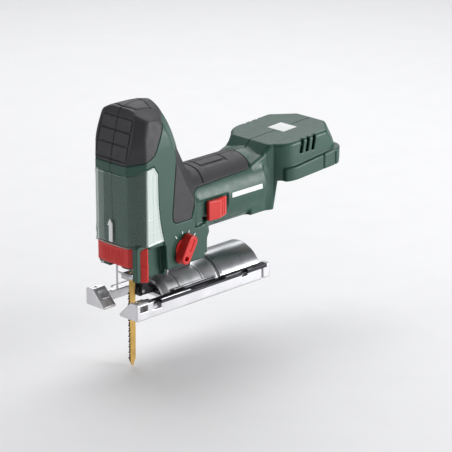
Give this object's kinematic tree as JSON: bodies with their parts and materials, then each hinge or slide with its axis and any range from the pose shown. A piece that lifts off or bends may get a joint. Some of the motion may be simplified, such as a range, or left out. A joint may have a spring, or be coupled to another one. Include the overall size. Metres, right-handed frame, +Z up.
{
  "type": "cordless jigsaw",
  "caption": "Barrel-grip cordless jigsaw without battery: two-shell housing, rubber grips, tilting metal sole, scroll blade, clear chip guard, red blade lever, selector and slide switch.",
  "frame": {"origin": "centre of the sole's underside, on the bevel axis", "axes": "-X is the cutting direction (blade end), +X the battery foot, +Z up, -Y the tool's left side"},
  "size_m": [0.233, 0.075, 0.2224],
  "materials": {
    "green_plastic": "fine satin moulded",
    "rubber_grip": "matt",
    "steel_dark": "blackened",
    "white_print": "printed",
    "cast_metal": "fine blasted",
    "hood_metal": "satin",
    "bronze": "sintered",
    "steel_bright": "ground",
    "magnet": "matt",
    "black_plastic": "satin",
    "brass_contact": "bright",
    "circuit_board": "lacquered",
    "copper": "bright",
    "blade_steel": "gold coated steel",
    "red_plastic": "satin",
    "clear_guard": "clear polycarbonate",
    "dark_steel": "satin",
    "white_plastic": "satin"
  },
  "bodies": {
    "housing": {"housing_left": "green_plastic", "housing_right": "green_plastic", "head_cap_left": "rubber_grip", "head_cap_right": "rubber_grip", "barrel_grip_left": "rubber_grip", "barrel_grip_right": "rubber_grip", "housing_screws": "steel_dark", "side_stripe": "white_print", "rating_label": "white_print", "gear_case": "steel_dark", "lower_bush": "bronze", "upper_bush": "bronze", "gear_axle": "steel_bright", "front_bearing": "steel_bright", "rear_bearing": "steel_bright", "motor_can": "steel_bright", "motor_magnets": "magnet", "motor_end_bell": "black_plastic", "carbon_brushes": "magnet", "brush_holders": "brass_contact", "switch_module": "black_plastic", "control_board": "circuit_board", "terminal_block": "black_plastic", "battery_contacts": "brass_contact", "lever_pin": "steel_bright", "fork_pin": "steel_bright", "guard_wire": "steel_bright", "bevel_shoe": "steel_bright", "bevel_screws": "steel_dark"},
    "rotor": {"rotor_shaft": "steel_bright", "rotor_core": "steel_bright", "rotor_windings": "copper", "commutator": "copper", "cooling_fan": "black_plastic", "drive_pinion": "steel_bright"},
    "gear": {"drive_gear": "steel_bright", "gear_bush": "bronze", "eccentric_pin": "steel_bright"},
    "plunger": {"plunger_rod": "steel_bright", "yoke": "steel_bright", "clamp_body": "steel_bright", "clamp_sleeve": "steel_dark", "saw_blade": "blade_steel"},
    "lever": {"blade_lever": "red_plastic"},
    "guard": {"chip_guard": "clear_guard"},
    "fork": {"roller_fork": "dark_steel", "roller_pin": "steel_bright"},
    "roller": {"guide_roller": "dark_steel"},
    "selector": {"selector_knob": "red_plastic", "selector_cam": "steel_bright"},
    "slide_switch": {"slide_button_left": "red_plastic", "slide_button_right": "red_plastic", "switch_link": "white_plastic"},
    "base": {"base_plate": "cast_metal", "foot_tube": "cast_metal", "extraction_hood": "hood_metal", "base_screws": "steel_dark"}
  },
  "joints": [
    {"name": "rotor_spin", "type": "hinge", "parent": "housing", "child": "rotor", "pos_m": [0, 0, 0.078], "axis": [1, 0, 0], "continuous": true},
    {"name": "gear_spin", "type": "hinge", "parent": "housing", "child": "gear", "pos_m": [-0.034, 0, 0.105], "axis": [1, 0, 0], "continuous": true},
    {"name": "plunger_stroke", "type": "slide", "parent": "housing", "child": "plunger", "axis": [0, 0, 1], "range_m": [0, 0.022]},
    {"name": "lever_swing", "type": "hinge", "parent": "housing", "child": "lever", "pos_m": [-0.0685, 0.017, 0.049], "axis": [0, 0, -1], "range_deg": [0, 60], "stiffness_Nm_per_rad": 0.02, "springref_deg": -17.19},
    {"name": "guard_slide", "type": "slide", "parent": "housing", "child": "guard", "axis": [0, 0, 1], "range_m": [-0.024, 0]},
    {"name": "fork_swing", "type": "hinge", "parent": "housing", "child": "fork", "pos_m": [-0.034, 0, 0.044], "axis": [0, -1, 0], "range_deg": [0, 3], "stiffness_Nm_per_rad": 0.2, "springref_deg": -2.86},
    {"name": "roller_spin", "type": "hinge", "parent": "fork", "child": "roller", "pos_m": [-0.0447, 0, 0.0116], "axis": [0, 1, 0], "continuous": true},
    {"name": "selector_turn", "type": "hinge", "parent": "housing", "child": "selector", "pos_m": [-0.0222, -0.03, 0.0486], "axis": [0, -1, 0], "range_deg": [-30, 60]},
    {"name": "switch_slide", "type": "slide", "parent": "housing", "child": "slide_switch", "axis": [-1, 0, 0], "range_m": [0, 0.008]},
    {"name": "base_bevel", "type": "hinge", "parent": "housing", "child": "base", "pos_m": [0, 0, 0], "axis": [1, 0, 0], "range_deg": [-45, 45]}
  ],
  "couplings": [
    {"joint": "gear_spin", "follows": "rotor_spin", "ratio": -0.22727}
  ]
}
